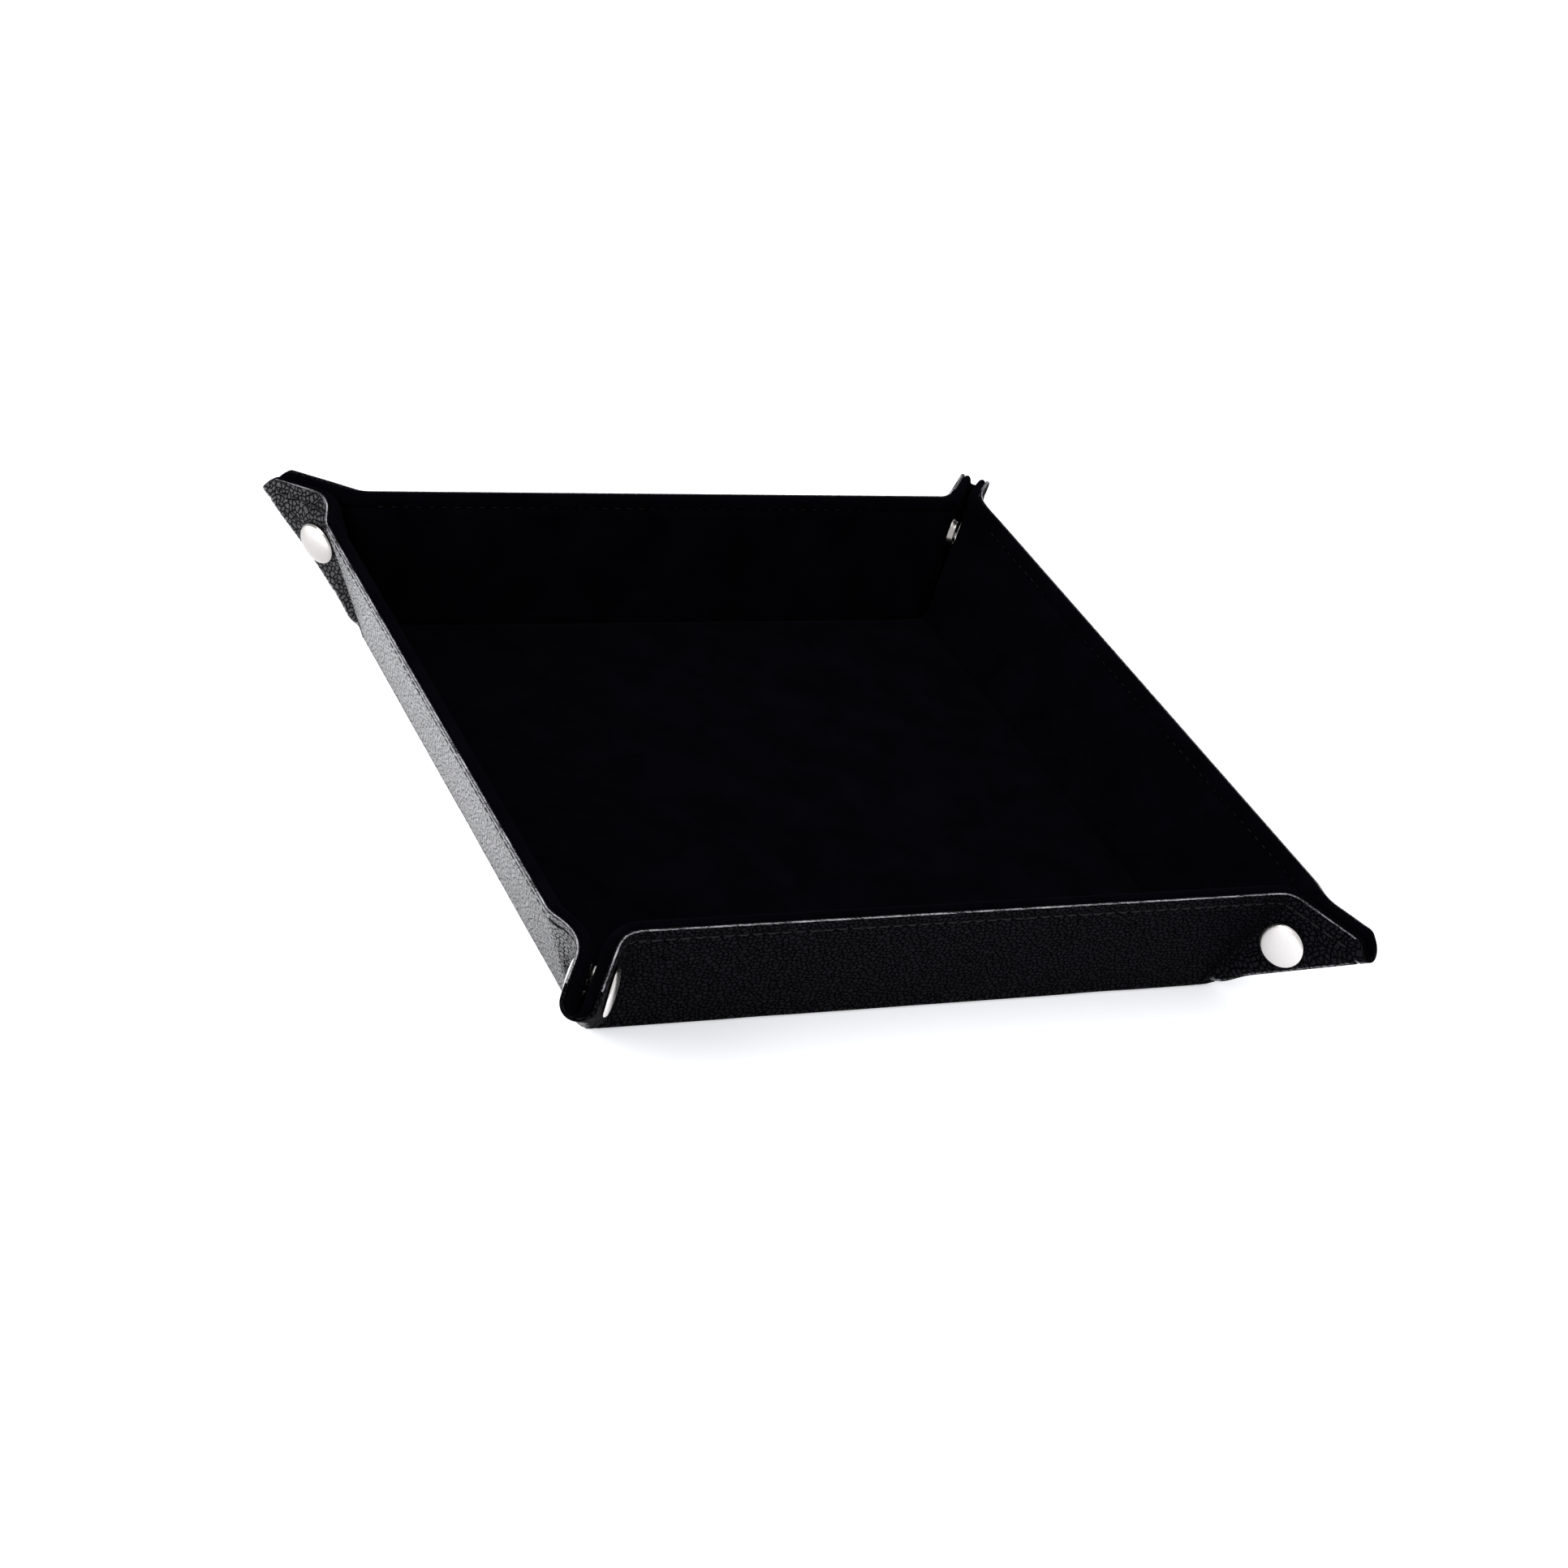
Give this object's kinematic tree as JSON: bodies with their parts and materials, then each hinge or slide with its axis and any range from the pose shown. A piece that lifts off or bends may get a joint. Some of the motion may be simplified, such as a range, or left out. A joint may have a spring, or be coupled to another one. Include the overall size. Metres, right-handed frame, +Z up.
{
  "type": "folding dice tray",
  "caption": "Square folding dice tray: leather outside, velvet inside, walls pinched up at the corners into outward ears held by domed press studs; unfolds into a flat mat.",
  "frame": {"origin": "centre of the floor panel's underside, on the surface the tray stands on, with the tray folded up", "axes": "+X to the right and +Y to the back along the floor's sides, +Z up; front is the side facing -Y"},
  "size_m": [0.2274, 0.2415, 0.0406],
  "materials": {
    "outer_leather": "pebbled, low sheen",
    "inner_velvet": "short-pile velvet, matt",
    "core_board": "plain, hidden",
    "stitching": "twisted thread",
    "snap_nickel": "bright nickel plate",
    "spring_steel": "plain wire"
  },
  "bodies": {
    "base": {"cover_base": "outer_leather", "board_base": "core_board", "lining_base": "inner_velvet"},
    "back_wall": {"cover_back_wall": "outer_leather", "board_back_wall": "core_board", "lining_back_wall": "inner_velvet", "thread_back_wall": "stitching"},
    "front_wall": {"cover_front_wall": "outer_leather", "board_front_wall": "core_board", "lining_front_wall": "inner_velvet", "thread_front_wall": "stitching"},
    "right_wall": {"cover_right_wall": "outer_leather", "board_right_wall": "core_board", "lining_right_wall": "inner_velvet", "thread_right_wall": "stitching"},
    "left_wall": {"cover_left_wall": "outer_leather", "board_left_wall": "core_board", "lining_left_wall": "inner_velvet", "thread_left_wall": "stitching"},
    "ear_fl_front": {"cover_ear_fl_front": "outer_leather", "lining_ear_fl_front": "inner_velvet", "snap_cap_fl": "snap_nickel", "snap_socket_fl": "snap_nickel", "snap_spring_fl": "spring_steel"},
    "ear_fl_side": {"cover_ear_fl_side": "outer_leather", "lining_ear_fl_side": "inner_velvet", "snap_backcap_fl": "snap_nickel", "snap_stud_fl": "snap_nickel"},
    "ear_fr_front": {"cover_ear_fr_front": "outer_leather", "lining_ear_fr_front": "inner_velvet", "snap_cap_fr": "snap_nickel", "snap_socket_fr": "snap_nickel", "snap_spring_fr": "spring_steel"},
    "ear_fr_side": {"cover_ear_fr_side": "outer_leather", "lining_ear_fr_side": "inner_velvet", "snap_backcap_fr": "snap_nickel", "snap_stud_fr": "snap_nickel"},
    "ear_br_back": {"cover_ear_br_back": "outer_leather", "lining_ear_br_back": "inner_velvet", "snap_cap_br": "snap_nickel", "snap_socket_br": "snap_nickel", "snap_spring_br": "spring_steel"},
    "ear_br_side": {"cover_ear_br_side": "outer_leather", "lining_ear_br_side": "inner_velvet", "snap_backcap_br": "snap_nickel", "snap_stud_br": "snap_nickel"},
    "ear_bl_back": {"cover_ear_bl_back": "outer_leather", "lining_ear_bl_back": "inner_velvet", "snap_cap_bl": "snap_nickel", "snap_socket_bl": "snap_nickel", "snap_spring_bl": "spring_steel"},
    "ear_bl_side": {"cover_ear_bl_side": "outer_leather", "lining_ear_bl_side": "inner_velvet", "snap_backcap_bl": "snap_nickel", "snap_stud_bl": "snap_nickel"}
  },
  "joints": [
    {"name": "front_wall_fold", "type": "hinge", "parent": "base", "child": "front_wall", "pos_m": [0, -0.0886, 0.002], "axis": [1, 0, 0], "range_deg": [0, 72.5]},
    {"name": "back_wall_fold", "type": "hinge", "parent": "base", "child": "back_wall", "pos_m": [0, 0.0886, 0.002], "axis": [-1, 0, 0], "range_deg": [0, 72.5]},
    {"name": "right_wall_fold", "type": "hinge", "parent": "base", "child": "right_wall", "pos_m": [0.0886, 0, 0.002], "axis": [0, 1, 0], "range_deg": [0, 65]},
    {"name": "left_wall_fold", "type": "hinge", "parent": "base", "child": "left_wall", "pos_m": [-0.0886, 0, 0.002], "axis": [0, -1, 0], "range_deg": [0, 65]},
    {"name": "ear_fl_front_fold", "type": "hinge", "parent": "front_wall", "child": "ear_fl_front", "pos_m": [-0.08991, -0.09287, 0.01963], "axis": [0.1954, 0.2959, -0.935], "range_deg": [0, 58.14]},
    {"name": "ear_fl_side_fold", "type": "hinge", "parent": "left_wall", "child": "ear_fl_side", "pos_m": [-0.09599, -0.09498, 0.01755], "axis": [-0.3988, -0.5226, 0.7536], "range_deg": [0, 41.02]},
    {"name": "ear_fr_front_fold", "type": "hinge", "parent": "front_wall", "child": "ear_fr_front", "pos_m": [0.09003, -0.09257, 0.01968], "axis": [0.1995, -0.2823, 0.9384], "range_deg": [0, 58.62]},
    {"name": "ear_fr_side_fold", "type": "hinge", "parent": "right_wall", "child": "ear_fr_side", "pos_m": [0.09552, -0.09526, 0.01765], "axis": [-0.3816, 0.5352, -0.7536], "range_deg": [0, 40.62]},
    {"name": "ear_br_back_fold", "type": "hinge", "parent": "back_wall", "child": "ear_br_back", "pos_m": [0.09109, 0.09143, 0.01982], "axis": [-0.2658, -0.2293, -0.9364], "range_deg": [0, 53.32]},
    {"name": "ear_br_side_fold", "type": "hinge", "parent": "right_wall", "child": "ear_br_side", "pos_m": [0.09224, 0.09513, 0.01872], "axis": [0.2869, 0.4939, 0.8208], "range_deg": [0, 45.32]},
    {"name": "ear_bl_back_fold", "type": "hinge", "parent": "back_wall", "child": "ear_bl_back", "pos_m": [-0.09017, 0.09314, 0.01956], "axis": [-0.2212, 0.3062, 0.9259], "range_deg": [0, 54.14]},
    {"name": "ear_bl_side_fold", "type": "hinge", "parent": "left_wall", "child": "ear_bl_side", "pos_m": [-0.09518, 0.09434, 0.01809], "axis": [0.3861, -0.4717, -0.7927], "range_deg": [0, 44.35]}
  ],
  "couplings": [
    {"joint": "back_wall_fold", "follows": "front_wall_fold", "ratio": 1},
    {"joint": "right_wall_fold", "follows": "front_wall_fold", "ratio": 0.89655},
    {"joint": "left_wall_fold", "follows": "front_wall_fold", "ratio": 0.89655},
    {"joint": "ear_fl_front_fold", "follows": "front_wall_fold", "ratio": 0.80199},
    {"joint": "ear_fl_side_fold", "follows": "front_wall_fold", "ratio": 0.56585},
    {"joint": "ear_fr_front_fold", "follows": "front_wall_fold", "ratio": 0.80852},
    {"joint": "ear_fr_side_fold", "follows": "front_wall_fold", "ratio": 0.56027},
    {"joint": "ear_br_back_fold", "follows": "front_wall_fold", "ratio": 0.73549},
    {"joint": "ear_br_side_fold", "follows": "front_wall_fold", "ratio": 0.62517},
    {"joint": "ear_bl_back_fold", "follows": "front_wall_fold", "ratio": 0.74679},
    {"joint": "ear_bl_side_fold", "follows": "front_wall_fold", "ratio": 0.61172}
  ]
}
